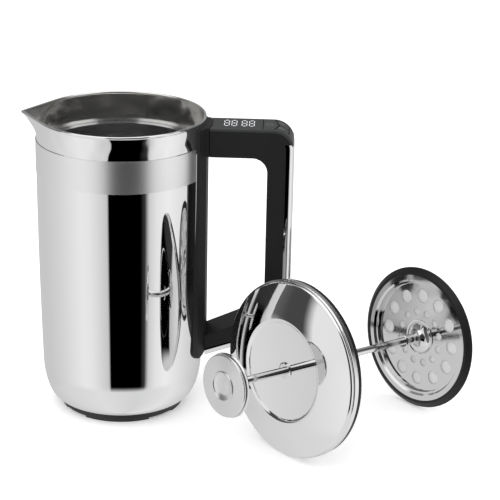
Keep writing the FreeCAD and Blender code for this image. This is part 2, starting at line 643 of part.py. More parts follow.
gauge = 0.8
flat_r = disc_r - 7.4
step_r = disc_r - 5.6
lip_r = disc_r - 4.4
disc = turned([(rod_r, sieve_s), (flat_r, sieve_s), (flat_r + 0.5, disc_s - 1.5), (step_r, disc_s - 1.5),
               (lip_r, disc_s), (disc_r, disc_s), (disc_r, disc_s - gauge), (lip_r + 0.6, disc_s - gauge),
               (step_r + 0.6, disc_s - 1.5 - gauge), (flat_r + 1.2, disc_s - 1.5 - gauge),
               (flat_r + 0.7, sieve_s - gauge), (rod_r, sieve_s - gauge)])
big_hole_r = 4.7
small_hole_r = 2.6
big_ring = disc_r - 15.6
small_ring = disc_r - 27.2
hole_count = 12
clock = math.radians(3.4)
sieve_holes = []
for i in range(hole_count):
    turn = clock + 2 * math.pi * i / hole_count
    half_turn = turn + math.pi / hole_count
    big_at = V(big_ring * math.cos(turn), big_ring * math.sin(turn), sieve_s - 2)
    small_at = V(small_ring * math.cos(half_turn), small_ring * math.sin(half_turn), sieve_s - 2)
    sieve_holes.append(Part.makeCylinder(big_hole_r, 4, big_at))
    sieve_holes.append(Part.makeCylinder(small_hole_r, 4, small_at))
disc = disc.cut(Part.makeCompound(sieve_holes))
mesh_t = 0.3
mesh = Part.makeCylinder(flat_r + 1.5, mesh_t, V(0, 0, sieve_s - gauge - mesh_t)).cut(
    Part.makeCylinder(rod_r, 5, V(0, 0, sieve_s - 4)))
spider_s = sieve_s - gauge - mesh_t - 1.0
spider = tube(flat_r + 0.5, flat_r - 3.0, spider_s, spider_s + 1.0)
spider = spider.fuse(tube(8.0, rod_r, spider_s, spider_s + 1.0))
spoke_count = 6
for i in range(spoke_count):
    spoke = box(6.0, flat_r - 1.5, -1.8, 1.8, spider_s, spider_s + 1.0)
    spoke.rotate(V(), UP, math.degrees(clock) + 15 + i * 360 / spoke_count)
    spider = spider.fuse(spoke)
lip_c = seal_r - seal_roll
seal_lip = turned([(disc_r - 0.9, disc_s + 0.4), (disc_r + 0.9, disc_s + 0.4), (lip_c + 0.9, seal_s + 0.44),
                   (lip_c - 0.7, seal_s - 0.7), (disc_r - 0.6, disc_s - gauge - 1.0),
                   (disc_r - 1.6, disc_s - gauge - 0.7), (disc_r - 1.6, disc_s - gauge), (disc_r - 0.9, disc_s)])
roll = Part.makeTorus(lip_c, seal_roll, V(0, 0, seal_s))
seal = seal_lip.fuse(roll).cut(disc)
bell_r = 12.0
bell_s = sieve_s + 6.0
sleeve_r = 3.6
flare_end = V(bell_r, 0, sieve_s + 0.5)
flare_mid = V(sleeve_r + 0.3 * (bell_r - sleeve_r), 0, sieve_s + 1.9)
flare_top = V(sleeve_r + 0.2, 0, bell_s)
bell_foot = V(bell_r, 0, sieve_s)
bell_in_low = V(rod_r, 0, sieve_s)
bell_in_high = V(rod_r, 0, bell_s)
bell = spun([Part.makeLine(bell_in_low, bell_foot), Part.makeLine(bell_foot, flare_end),
             Part.Arc(flare_end, flare_mid, flare_top).toShape(), Part.makeLine(flare_top, bell_in_high),
             Part.makeLine(bell_in_high, bell_in_low)])
sleeve_top = sieve_s + 17.5
sleeve_lip_r = 4.6
sleeve = turned([(rod_r, bell_s), (sleeve_r, bell_s), (sleeve_r, sleeve_top - 2.4),
                 (sleeve_lip_r - 0.3, sleeve_top - 1.5), (sleeve_lip_r, sleeve_top - 1.1),
                 (sleeve_lip_r, sleeve_top - 0.4), (sleeve_lip_r - 0.4, sleeve_top), (rod_r, sleeve_top)])
nut_s = rod_low - 1.0
nut_r = 6.0
corners = [math.pi * k / 3 for k in range(7)]
hexagon = Part.makePolygon([V(nut_r * math.cos(a), nut_r * math.sin(a), nut_s) for a in corners])
nut = Part.Face(hexagon).extrude(V(0, 0, spider_s - nut_s)).cut(rod)
nut = nut.common(Part.makeCone(5.0, 9.0, 4.0, V(0, 0, nut_s)))

# ---- lay the lid and plunger on the floor, leaning on the lid ring and the filter seal ----
span = ring_s - seal_s
fall_r = (lid_r - ring_roll) - (seal_r - seal_roll)
lean = math.atan2(fall_r, span) + math.asin((ring_roll - seal_roll) / math.hypot(span, fall_r))
ring_centre_z = (lid_r - ring_roll) * math.cos(lean) + ring_roll
lid_z = ring_centre_z - ring_s * math.sin(lean)


def laid(shape):
    s = shape.copy()
    s.rotate(V(), V(0, 1, 0), 90 - math.degrees(lean))
    s.rotate(V(), UP, math.degrees(lean_azimuth))
    s.translate(V(lid_x, lid_y, lid_z))
    return s


# ---- write one file per piece ----
pot = {"foot_pad_ring": pad_ring, "base_cover": cover, "base_pan": pan, "load_cell": load_cell,
       "outer_shell": shell, "inner_vessel": vessel, "trim_band": band, "signal_cable": cable,
       "handle_rail": rail, "handle_frame": frame, "handle_strip": strip,
       "display_cover": cover_layer, "display_module": display, "circuit_board": board,
       "tact_switches": switch_set, "digits_left": digits_left, "digits_right": digits_right,
       "battery_left": batteries[0], "battery_right": batteries[1],
       "contact_low": contact_low, "contact_high": contact_high,
       "arm_screw_upper": arm_screw_upper, "arm_screw_lower": arm_screw_lower, "strip_screw": strip_screw,
       "power_button": keys[0], "timer_button": keys[1], "tare_button": keys[2]}
for i, screw in enumerate(base_screws):
    pot["base_screw_%d" % (i + 1)] = screw
lying = {"lid_dome": dome, "lid_rim_ring": rim_ring, "lid_gasket": gasket, "lid_underplate": plate,
         "rod_bush": bush, "plunger_rod": rod, "knob_face": knob_face, "knob_badge": badge,
         "knob_back": knob_back, "filter_plate": disc, "filter_mesh": mesh, "filter_spider": spider,
         "filter_seal": seal, "hub_bell": bell, "hub_sleeve": sleeve, "filter_nut": nut}
for name, shape in pot.items():
    save(name, shape)
for name, shape in lying.items():
    save(name, laid(shape))
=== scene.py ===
# %% [markdown] # A weighing french press, taken apart for its portrait The engineering model of this
# press is already packed: every sheet, seal, screw and key is there, at its real size. What is left for
# Blender is how it looks: mirror polished steel, satin steel, black moulded plastic, rubber and lit
# digits, and a few small printed marks that are easier to model than to draw. It has to come first,
# because every place used below is read from it and nothing is typed in twice.

import bpy
import bmesh
import json
import math
from mathutils import Matrix, Vector


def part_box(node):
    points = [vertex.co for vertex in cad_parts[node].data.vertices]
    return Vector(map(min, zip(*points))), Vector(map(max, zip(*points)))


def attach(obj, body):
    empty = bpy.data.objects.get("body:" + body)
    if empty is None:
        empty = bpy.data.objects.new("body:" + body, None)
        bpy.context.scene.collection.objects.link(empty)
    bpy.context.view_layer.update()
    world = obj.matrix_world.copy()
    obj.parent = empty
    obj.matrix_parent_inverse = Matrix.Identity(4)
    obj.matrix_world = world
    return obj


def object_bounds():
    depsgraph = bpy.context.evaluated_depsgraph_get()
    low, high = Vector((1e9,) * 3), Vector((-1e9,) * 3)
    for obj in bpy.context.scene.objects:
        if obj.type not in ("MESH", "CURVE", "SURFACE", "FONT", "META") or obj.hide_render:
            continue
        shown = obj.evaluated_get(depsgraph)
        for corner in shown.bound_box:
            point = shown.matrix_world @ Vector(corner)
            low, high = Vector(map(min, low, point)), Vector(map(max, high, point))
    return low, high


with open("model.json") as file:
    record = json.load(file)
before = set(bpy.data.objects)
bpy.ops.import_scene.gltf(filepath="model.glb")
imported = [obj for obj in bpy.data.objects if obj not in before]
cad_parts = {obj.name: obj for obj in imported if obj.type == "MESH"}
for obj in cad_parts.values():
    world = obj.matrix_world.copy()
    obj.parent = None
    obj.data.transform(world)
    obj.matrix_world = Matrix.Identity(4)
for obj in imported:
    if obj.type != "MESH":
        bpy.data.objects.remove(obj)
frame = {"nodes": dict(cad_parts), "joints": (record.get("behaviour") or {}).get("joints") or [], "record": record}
cad_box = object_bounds()
nodes = frame["nodes"]

# %% [markdown]
# ## Where the loose lid lies
# The lid, rod and sieve lie on the table in one straight assembly, so their patterns, such as turning
# marks on the knob, have to run round the rod and not round the world's upright. The rod's own slide
# joint gives its direction, and the middle of the rod's box is a point on it. From these comes one
# turn that stands the assembly upright, which the materials below use as their own frame.

# %% The rod's axis
rod_joint = [j for j in frame["joints"] if j["name"] == "plunger_slide"][0]
rod_way = Vector(rod_joint["axis"]).normalized()
rod_low, rod_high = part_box("plunger_rod")
rod_middle = (rod_low + rod_high) / 2
badge_low, badge_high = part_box("knob_badge")
knob_middle = (badge_low + badge_high) / 2
rod_turn = Vector((0, 0, 1)).rotation_difference(rod_way).to_euler()
print("rod runs along", [round(c, 3) for c in rod_way])

# %% [markdown]
# ## Camera
# The press is seen from a little above and from the front, with a long lens so that its upright sides
# hardly converge. The place is given from the middle of the foot, with the turn as a compass bearing,
# a tilt down and a very small roll, which are easy to change one at a time.

# %% Camera
camera_place = Vector((0.1142, -1.0862, 0.51745))
camera_bearing = math.radians(-1.42)
camera_tilt = math.radians(20.46)
camera_roll = math.radians(1.25)
lens_mm = 122.9


def camera_axes(bearing, tilt, roll):
    """The camera's right, up and backward directions."""
    level = math.cos(tilt)
    ahead = Vector((math.sin(bearing) * level, math.cos(bearing) * level, -math.sin(tilt)))
    right = Vector((math.cos(bearing), -math.sin(bearing), 0))
    above = right.cross(ahead)
    right_rolled = right * math.cos(roll) + above * math.sin(roll)
    above_rolled = above * math.cos(roll) - right * math.sin(roll)
    return right_rolled, above_rolled, -ahead


camera_data = bpy.data.cameras.new("camera")
camera_data.lens = lens_mm
camera_data.sensor_width = 36
camera_data.clip_start = 0.01
camera_data.clip_end = 50
camera = bpy.data.objects.new("camera", camera_data)
bpy.context.scene.collection.objects.link(camera)
turn = Matrix(camera_axes(camera_bearing, camera_tilt, camera_roll)).transposed()
camera.matrix_world = Matrix.Translation(camera_place) @ turn.to_4x4()
bpy.context.scene.camera = camera
print("camera", round((camera_place - rod_middle).length, 3), "m from the rod")

# %% [markdown]
# ## A material as a thing to build on
# Every finish is one Principled shader with a few texture nodes in front of it. A small class keeps one
# material's nodes together: it makes the shader, sets what is the same all over the surface directly on
# the shader's sockets, and joins nodes. Textures read Object coordinates, which are metres here, so a
# scale of 1000 means grains of about a millimetre. The next two classes add to this one, a step at a time.

# %% Nodes of one material
class Nodes:
    """One node material with a Principled shader."""

    def __init__(self, name, **values):
        self.material = bpy.data.materials.new(name)
        self.material.use_nodes = True
        self.tree = self.material.node_tree
        self.shader = self.tree.nodes["Principled BSDF"]
        for socket, value in values.items():
            self.shader.inputs[socket.replace("_", " ")].default_value = value
        self.where = self.node("ShaderNodeTexCoord").outputs["Object"]

    def node(self, kind, **settings):
        made = self.tree.nodes.new(kind)
        for key, value in settings.items():
            setattr(made, key, value)
        return made

    def join(self, source, target):
        self.tree.links.new(source, target)

    def math(self, operation, a, b=None):
        made = self.node("ShaderNodeMath", operation=operation)
        for socket, value in zip(made.inputs, (a, b)):
            if value is None:
                continue
            if isinstance(value, (int, float)):
                socket.default_value = value
            else:
                self.join(value, socket)
        return made.outputs["Value"]

    def span(self, source, low, high, low_in=0.0, high_in=1.0):
        """Stretch a value from low_in..high_in to low..high."""
        made = self.node("ShaderNodeMapRange")
        made.inputs["From Min"].default_value = low_in
        made.inputs["From Max"].default_value = high_in
        made.inputs["To Min"].default_value = low
        made.inputs["To Max"].default_value = high
        self.join(source, made.inputs["Value"])
        return made.outputs["Result"]


print("finishes are built up from", Nodes.__name__)

# %% [markdown]
# ## Where a pattern is read
# The same noise makes grain, lathe rings or brush lines, depending on where it is read. Stretched far
# along one direction it becomes lines; read only by its distance from the axis it becomes rings. The
# lying pieces are first stood upright by a Mapping node of the TEXTURE kind, so a pattern can treat the
# rod as its upright.

# %% Places for patterns
class Patterns(Nodes):
    """Ways to read the surface: upright, stretched, by distance, by height or by which way it faces."""

    def lying(self):
        """Read patterns in the rod's own upright frame."""
        mapping = self.node("ShaderNodeMapping", vector_type="TEXTURE")
        mapping.inputs["Location"].default_value = rod_middle
        mapping.inputs["Rotation"].default_value = rod_turn
        self.join(self.where, mapping.inputs["Vector"])
        self.where = mapping.outputs["Vector"]
        return self

    def stretched(self, x, y, z):
        mapping = self.node("ShaderNodeMapping")
        mapping.inputs["Scale"].default_value = (x, y, z)
        self.join(self.where, mapping.inputs["Vector"])
        return mapping.outputs["Vector"]

    def part_of_place(self, axis):
        made = self.node("ShaderNodeSeparateXYZ")
        self.join(self.where, made.inputs["Vector"])
        return made.outputs[axis]

    def radius(self):
        """Distance from the pattern frame's upright axis."""
        flat = self.node("ShaderNodeVectorMath", operation="MULTIPLY")
        flat.inputs[1].default_value = (1, 1, 0)
        self.join(self.where, flat.inputs[0])
        length = self.node("ShaderNodeVectorMath", operation="LENGTH")
        self.join(flat.outputs["Vector"], length.inputs[0])
        return length.outputs["Value"]

    def on_line(self, value):
        """A place on a line, for a pattern that only changes along one value."""
        made = self.node("ShaderNodeCombineXYZ")
        self.join(value, made.inputs["X"])
        return made.outputs["Vector"]

    def facing_axis(self):
        """One where a face looks towards the pot's axis, nought where it looks away."""
        flat = self.node("ShaderNodeVectorMath", operation="MULTIPLY")
        flat.inputs[1].default_value = (-1, -1, 0)
        self.join(self.where, flat.inputs[0])
        meet = self.node("ShaderNodeVectorMath", operation="DOT_PRODUCT")
        self.join(flat.outputs["Vector"], meet.inputs[0])
        self.join(self.node("ShaderNodeNewGeometry").outputs["Normal"], meet.inputs[1])
        least_turn_in = 0.002
        return self.math("GREATER_THAN", meet.outputs["Value"], least_turn_in)

    def noise(self, scale, detail=2.0, roughness=0.5, where=None):
        made = self.node("ShaderNodeTexNoise")
        made.inputs["Scale"].default_value = scale
        made.inputs["Detail"].default_value = detail
        made.inputs["Roughness"].default_value = roughness
        self.join(where or self.where, made.inputs["Vector"])
        return made.outputs["Fac"]


pattern_ways = [name for name in vars(Patterns) if not name.startswith("_")]
print("patterns:", ", ".join(pattern_ways))

# %% [markdown]
# ## What a pattern drives
# A pattern ends in colour, in roughness or in relief. Relief is a bump with a real height in metres.
# Brushed and turned metal also stretches its reflections, because its slopes differ only across the
# marks. The shader has an anisotropy for that, and a tangent says which way to stretch: one direction
# for a rod or a wall, or away from a centre for a turned disc, which gives it two fans of light.

# %% Colour, roughness and relief
class Finish(Patterns):
    """A finish: patterns wired to what the shader shows."""

    def tint(self, source, low, high):
        """A colour that goes from low to high with a value."""
        made = self.node("ShaderNodeMix", data_type="RGBA")
        made.inputs["A"].default_value = (*low, 1)
        made.inputs["B"].default_value = (*high, 1)
        self.join(source, made.inputs["Factor"])
        self.join(made.outputs["Result"], self.shader.inputs["Base Color"])
        return self

    def rough(self, source):
        self.join(source, self.shader.inputs["Roughness"])
        return self

    def relief(self, source, height):
        """The value times height, in metres, stands proud of the surface, on top of earlier relief."""
        made = self.node("ShaderNodeBump")
        made.inputs["Strength"].default_value = 1.0
        made.inputs["Distance"].default_value = height
        self.join(source, made.inputs["Height"])
        if self.shader.inputs["Normal"].is_linked:
            self.join(self.shader.inputs["Normal"].links[0].from_socket, made.inputs["Normal"])
        self.join(made.outputs["Normal"], self.shader.inputs["Normal"])
        return self

    def streak_along(self, amount, direction):
        """Stretch reflections along one direction."""
        self.shader.inputs["Anisotropic"].default_value = amount
        made = self.node("ShaderNodeCombineXYZ")
        for axis, value in zip("XYZ", direction):
            made.inputs[axis].default_value = value
        self.join(made.outputs["Vector"], self.shader.inputs["Tangent"])
        return self

    def streak_from(self, amount, centre):
        """Stretch reflections away from a centre, as lathe marks do."""
        self.shader.inputs["Anisotropic"].default_value = amount
        outwards = self.node("ShaderNodeVectorMath", operation="SUBTRACT")
        self.join(self.node("ShaderNodeTexCoord").outputs["Object"], outwards.inputs[0])
        outwards.inputs[1].default_value = centre
        self.join(outwards.outputs["Vector"], self.shader.inputs["Tangent"])
        return self


finish_ways = [name for name in vars(Finish) if not name.startswith("_")]
print("a pattern can drive:", ", ".join(finish_ways))

# %% [markdown]
# ## Dressing the packed pieces
# Each packed piece names a material slot. One call gives a finish to every piece of a slot, so pieces of
# the same metal always match.

# %% Wear a finish
finishes = {}


def wear(slot, finish):
    """Give a finish to every packed piece in that material slot."""
    finishes[slot] = finish
    for part in frame["record"]["subparts"]:
        if part["material_slot"] == slot:
            for holder in nodes[part["node"]].material_slots:
                holder.material = finish.material


# %% [markdown]
# ## Polished steel
# The lid, rod, knob back, sieve plate and strip are buffed to a mirror. Such a mirror is never perfect:
# the sheet keeps a very slight waviness from the press, and buffing leaves a haze of scratches too fine
# to see one by one. So the shader is a bare metal with a low roughness that varies a little, and a bump
# of a few hundredths of a millimetre over centimetres, which makes the edges of reflections wander.

# %% Mirror finishes
haze_scale = 900


def mirror(name, grey, haze_low, haze_high, wave_mm=0.0, wave_scale=0, lying=False):
    finish = Finish(name, Metallic=1.0)
    if lying:
        finish.lying()
    cloud = finish.noise(60, 3)
    finish.tint(cloud, (grey - 0.015,) * 3, (grey + 0.015, grey + 0.015, grey + 0.02))
    finish.rough(finish.span(finish.noise(haze_scale, 4, 0.7), haze_low, haze_high, 0.35, 0.65))
    if wave_mm > 0:
        finish.relief(finish.noise(wave_scale, 1.0), wave_mm / 1000)
    return finish


wear("lid_polish", mirror("mirror_lid", 0.80, 0.02, 0.06, 0.05, 30, lying=True))
wear("strip_chrome", mirror("mirror_strip", 0.78, 0.02, 0.05))
wear("filter_polish", mirror("mirror_sieve", 0.66, 0.05, 0.10, 0.05, 40, lying=True))
wear("hub_steel", mirror("turned_hub", 0.72, 0.06, 0.12, lying=True).streak_along(0.5, rod_way))
wear("rod_steel", mirror("ground_rod", 0.78, 0.06, 0.12, lying=True).streak_along(0.5, rod_way))
wear("knob_polish", mirror("polished_knob_back", 0.78, 0.03, 0.07, lying=True))
wear("bush_steel", mirror("turned_bush", 0.74, 0.05, 0.12, lying=True))
print("mirror finishes:", ", ".join(finishes))

# %% [markdown]
# ## The pot's shell
# The shell is one pressed sheet with two faces: a mirror outside, and a brushed face inside the mouth.
# Which one shows depends on whether a face looks towards the pot's axis, so one material does both. The
# collar above the band was rolled after buffing and waves more than the body, so its relief is stronger.

# %% Shell finish
collar_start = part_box("trim_band")[1].z
body_wave = 0.00005
collar_wave = 0.0014
brush_depth = 0.000004
brushed_haze = 0.22
shell_finish = Finish("mirror_shell", Metallic=1.0)
inside = shell_finish.facing_axis()
collar = shell_finish.math("GREATER_THAN", shell_finish.part_of_place("Z"), collar_start)
haze = shell_finish.span(shell_finish.noise(haze_scale, 4, 0.7), 0.015, 0.04, 0.35, 0.65)
brushing = shell_finish.noise(1.0, 3, 0.6, shell_finish.stretched(14, 14, 5000))
shell_finish.tint(inside, (0.80, 0.80, 0.805), (0.86, 0.85, 0.83))
shell_finish.rough(shell_finish.math("MAXIMUM", haze, shell_finish.math("MULTIPLY", inside, brushed_haze)))
shell_finish.relief(shell_finish.noise(18, 1.0), body_wave)
shell_finish.relief(shell_finish.math("MULTIPLY", collar, shell_finish.noise(60, 1.0)), collar_wave)
shell_finish.relief(shell_finish.math("MULTIPLY", inside, brushing), brush_depth)
wear("polished_steel", shell_finish)
print("the collar starts at", round(collar_start * 1000, 1), "mm")

# %% [markdown]
# ## Brushed and satin steel
# The trim band, the inside of the vessel and the plain pressed parts were run against an abrasive belt
# while they turned. The marks are rings round the axis: long one way and a few hundredths of a millimetre
# apart the other way. Noise that is read only along the height, plus a little round the ring so the marks
# start and stop, gives exactly that. Lines this fine are mostly seen as a soft, stretched reflection.

# %% Brushed finishes
around_scale = 6.0


def brushed(name, grey, rough_low, rough_high, line_scale, line_mm, lying=False):
    finish = Finish(name, Metallic=1.0)
    if lying:
        finish.lying()
    lines = finish.noise(1.0, 3, 0.6, finish.stretched(around_scale, around_scale, line_scale))
    finish.tint(lines, (grey * 0.9,) * 3, (grey * 1.06,) * 3)
    finish.rough(finish.span(lines, rough_low, rough_high, 0.3, 0.7))
    finish.relief(lines, line_mm / 1000)
    return finish


vessel_finish = brushed("brushed_vessel", 0.80, 0.14, 0.24, 4000, 0.002)
wear("band_steel", brushed("satin_band", 0.84, 0.30, 0.33, 9000, 0.0004))
wear("vessel_steel", vessel_finish.streak_along(0.6, (0, 0, 1)))
wear("pan_steel", brushed("pressed_pan", 0.55, 0.30, 0.42, 2500, 0.004))
wear("lid_under_steel", brushed("pressed_lid_floor", 0.34, 0.25, 0.38, 2500, 0.003, lying=True))
wear("spider_steel", brushed("stamped_spider", 0.58, 0.25, 0.38, 2500, 0.004, lying=True))
wear("screw_steel", brushed("plated_screw", 0.55, 0.25, 0.38, 6000, 0.003))
print(len(finishes), "finishes so far")

# %% [markdown]
# ## The turned face of the knob
# The knob's face was cut on a lathe, so its marks are fine rings round the rod's axis and light gathers
# on it in two opposite fans. Distance from the axis drives the noise, so the rings stay true on the
# domed face and in its dimple, whichever way the knob lies.

# %% Turned finish
ring_depth = 0.000006
turned = Finish("turned_knob", Metallic=1.0).lying()
rings = turned.noise(7000, 3, 0.65, turned.on_line(turned.radius()))
turned.tint(rings, (0.70, 0.70, 0.705), (0.82, 0.82, 0.82))
turned.rough(turned.span(rings, 0.20, 0.32, 0.3, 0.7))
turned.relief(rings, ring_depth)
turned.streak_from(0.75, knob_middle)
wear("knob_satin", turned)
print("lathe marks run round", [round(c, 3) for c in knob_middle])

# %% [markdown]
# ## The woven sieve
# Behind the plate's holes lies a fine woven steel cloth. Its wires are a few tenths of a millimetre
# apart, so one wave across and one wave along, read in the rod's own frame, give the weave: the wave's
# crest is a wire, and between the wires the colour is painted dark as shade in the gaps.

# %% Woven steel
weave_pitch = 0.0006
wire_height = 0.0001
woven = Finish("woven_steel", Metallic=0.1, Roughness=0.5).lying()
waves = []
for axis in "XY":
    turns = woven.math("MULTIPLY", woven.part_of_place(axis), math.pi / weave_pitch)
    waves.append(woven.math("ABSOLUTE", woven.math("SINE", turns)))
weave_and_gap_shade = woven.math("MAXIMUM", *waves)
# painted shade: the colour darkens between the wires, as shade in the gaps of the weave
woven.tint(woven.span(weave_and_gap_shade, 0.0, 1.0, 0.45, 0.95), (0.45, 0.45, 0.45), (0.92, 0.92, 0.92))
woven.relief(weave_and_gap_shade, wire_height)
wear("mesh_steel", woven)
print("wires every", weave_pitch * 1000, "mm")

# %% [markdown]
# ## Moulded plastic, rubber and silicone
# The handle is a black moulding with the fine spark-eroded grain that hides finger marks, and its top
# cover is a dark grey with a tighter grain. Rubber and silicone are duller still. All of them are a dark
# colour that varies by a hair, a roughness that varies a little, and a bump made from the same grain as
# the roughness, so that the two change together.

# %% Moulded finishes
def moulded(name, dark, light, rough_low, rough_high, grain_scale, grain_mm, lying=False, **values):
    finish = Finish(name, **values)
    if lying:
        finish.lying()
    grain = finish.noise(grain_scale, 3, 0.55)
    finish.tint(finish.noise(45, 3), dark, light)
    finish.rough(finish.span(grain, rough_low, rough_high, 0.3, 0.7))
    finish.relief(grain, grain_mm / 1000)
    return finish


def near_black(low, high, blue=0.0):
    """Two dark greys, bluer than neutral by a hair where that is asked for."""
    return (low, low, low + blue), (high, high, high + blue)


wear("handle_plastic", moulded("black_handle", *near_black(0.007, 0.010, 0.0005), 0.45, 0.55, 3500, 0.008,
                               Specular_IOR_Level=0.3))
wear("cover_plastic", moulded("grey_cover", (0.026, 0.027, 0.028), (0.032, 0.033, 0.034), 0.36, 0.46,
                              5000, 0.006, Specular_IOR_Level=0.4))
wear("button_plastic", moulded("grey_keys", (0.028, 0.029, 0.030), (0.034, 0.035, 0.036), 0.36, 0.46,
                               5000, 0.006, Specular_IOR_Level=0.4))
wear("base_plastic", moulded("black_base", *near_black(0.014, 0.02), 0.45, 0.6, 3000, 0.02))
wear("pad_rubber", moulded("black_rubber", *near_black(0.012, 0.018), 0.6, 0.75, 2500, 0.02))
wear("seal_silicone", moulded("black_silicone", *near_black(0.005, 0.008), 0.36, 0.48, 2000, 0.006,
                              lying=True, Specular_IOR_Level=0.35))
wear("cable_jacket", moulded("cable_skin", *near_black(0.014, 0.02), 0.45, 0.6, 3000, 0.01))
wear("switch_plastic", moulded("switch_black", *near_black(0.02, 0.028), 0.4, 0.5, 4000, 0.01))
wear("display_block", moulded("display_black", *near_black(0.008, 0.012, 0.001), 0.2, 0.3, 4000, 0.004))
print(len(finishes), "finishes with the moulded ones")

# %% [markdown]
# ## Inside pieces
# Nobody sees the circuit board, the cells or their contacts in use, but they are there when the handle
# is opened. A laminate shows its glass weave, a cell's jacket has a plain band near its plus end, and
# the plated contacts are a grey mirror metal with a cloudy tone.

# %% Inside finishes
laminate = Finish("green_laminate", Roughness=0.35)
glass = laminate.noise(1.0, 2, 0.5, laminate.stretched(1500, 1500, 200))
laminate.tint(glass, (0.01, 0.09, 0.045), (0.02, 0.14, 0.07))
wear("board_laminate", laminate)

cell_low, cell_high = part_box("battery_left")
plus_end = 0.25
band_edge = cell_high.z - plus_end * (cell_high.z - cell_low.z)
print_relief = 0.00001
jacket = Finish("cell_jacket", Metallic=0.4, Roughness=0.3)
in_band = jacket.math("GREATER_THAN", jacket.part_of_place("Z"), band_edge)
jacket.tint(in_band, (0.03, 0.035, 0.05), (0.55, 0.36, 0.12))
jacket.relief(jacket.noise(1200, 2), print_relief)
wear("battery_jacket", jacket)

wear("contact_metal", mirror("plated_contact", 0.62, 0.15, 0.3))
wear("cell_metal", brushed("machined_beam", 0.66, 0.25, 0.4, 3000, 0.004))
print("the cells' band starts at", round(band_edge * 1000, 1), "mm")

# %% [markdown]
# ## Lit digits
# The bars of the display are small light guides flush with the cover. Lit, they are brighter than the
# cover round them, so they give off a little light of their own, enough to read as white on dark grey.

# %% Lit finish
lit = Finish("lit_bars", Roughness=0.4, Emission_Strength=0.40, Emission_Color=(0.93, 0.96, 1.0, 1))
lit.tint(lit.noise(800, 2), (0.50, 0.51, 0.52), (0.60, 0.61, 0.62))
wear("digit_light", lit)
missing = [s["slot"] for s in frame["record"]["materials"] if s["slot"] not in finishes]
print(len(finishes), "finishes; slots still bare:", missing or "none")

# %% [markdown]
# ## Marks on the keys
# Each key carries one small printed mark: a ring with a stroke for power, a ring with two hands for the
# timer and a ring with a bar for setting the scale to nought. A ring starts as a circle of edges that is
# extruded inwards and opened where the stroke passes. A stroke is a plane drawn out and rounded at its
# corners. The keys are curved, so a flat mark would float at its ends: every mark is first laid on its key
# with a Shrinkwrap, then given the thickness of a print with a Solidify, and both are applied.

# %% Mark tools
print_t = 0.00008
print_lift = 0.00001
ring_sides = 72
corner_share = 0.45


def fresh():
    """Leave edit mode and select nothing, so the next operator starts clean."""
    if bpy.context.object and bpy.context.object.mode != "OBJECT":
        bpy.ops.object.mode_set(mode="OBJECT")
    bpy.ops.object.select_all(action="DESELECT")


def open_ring(name, radius, width, gap_angle, gap_way):
    """A flat ring, opened by gap_angle about the direction gap_way, both in degrees."""
    fresh()
    bpy.ops.mesh.primitive_circle_add(vertices=ring_sides, radius=radius, fill_type="NOTHING",
                                      location=(0, 0, 0))
    ring = bpy.context.object
    ring.name = name
    bpy.ops.object.mode_set(mode="EDIT")
    bpy.ops.mesh.select_all(action="SELECT")
    bpy.ops.mesh.extrude_region_move()
    bpy.ops.transform.resize(value=((radius - width) / radius,) * 3)
    bpy.ops.mesh.select_all(action="DESELECT")
    mesh = bmesh.from_edit_mesh(ring.data)
    for face in mesh.faces:
        centre = face.calc_center_median()
        off = math.degrees(math.atan2(centre.y, centre.x)) - gap_way
        face.select_set(abs((off + 180) % 360 - 180) < gap_angle / 2)
    bmesh.update_edit_mesh(ring.data)
    if gap_angle > 0:
        bpy.ops.mesh.delete(type="FACE")
    bpy.ops.object.mode_set(mode="OBJECT")
    return ring


def stroke(name, length, width, place, way):
    """A flat bar with rounded corners, its middle at place and its length along way in degrees."""
    fresh()
    bpy.ops.mesh.primitive_plane_add(size=1, location=(0, 0, 0))
    bar = bpy.context.object
    bar.name = name
    bpy.ops.object.mode_set(mode="EDIT")
    bpy.ops.mesh.select_all(action="SELECT")
    bpy.ops.transform.resize(value=(length, width, 1))
    bpy.ops.mesh.bevel(offset=width * corner_share, segments=4, affect="VERTICES")
    bpy.ops.transform.rotate(value=math.radians(way), orient_axis="Z", center_override=(0, 0, 0))
    bpy.ops.transform.translate(value=(place[0], place[1], 0))
    bpy.ops.object.mode_set(mode="OBJECT")
    return bar


print("rings have", ring_sides, "sides")

# %% [markdown]
# ## From flat parts to a print
# The parts of a mark are joined, moved over their key, dropped onto it and thickened. The drop follows the
# world's upright only, so the mark keeps its shape seen from above. It wears the grey print finish, and its
# body is the key's, so it rides with it.

# %% Printing a mark
def join_parts(parts, name, place):
    """One flat mesh over the key, from several."""
    fresh()
    for part in parts:
        part.select_set(True)
    bpy.context.view_layer.objects.active = parts[0]
    bpy.ops.object.join()
    mark = bpy.context.object
    mark.name = name
    bpy.ops.object.mode_set(mode="EDIT")
    bpy.ops.mesh.select_all(action="SELECT")
    bpy.ops.transform.translate(value=place)
    bpy.ops.object.mode_set(mode="OBJECT")
    return mark


def print_on(parts, name, key, body, place):
    """Lay joined parts on a key at place and give them the thickness of a print."""
    mark = join_parts(parts, name, place)
    bpy.ops.object.modifier_add(type="SHRINKWRAP")
    lay = mark.modifiers[-1]
    lay.target = nodes[key]
    lay.wrap_method = "PROJECT"
    lay.use_project_z = True
    lay.use_negative_direction = True
    lay.use_positive_direction = False
    lay.offset = print_lift
    bpy.ops.object.modifier_apply(modifier=lay.name)
    bpy.ops.object.modifier_add(type="SOLIDIFY")
    thick = mark.modifiers[-1]
    thick.thickness = print_t
    thick.offset = 1
    bpy.ops.object.modifier_apply(modifier=thick.name)
    bpy.ops.object.mode_set(mode="EDIT")
    bpy.ops.mesh.select_all(action="SELECT")
    bpy.ops.mesh.normals_make_consistent(inside=False)
    bpy.ops.object.mode_set(mode="OBJECT")
    mark.data.materials.clear()
    mark.data.materials.append(mark_finish.material)
    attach(mark, body)
    print(name, "has", len(mark.data.polygons), "faces")


print("a print is", print_t * 1000, "mm thick")

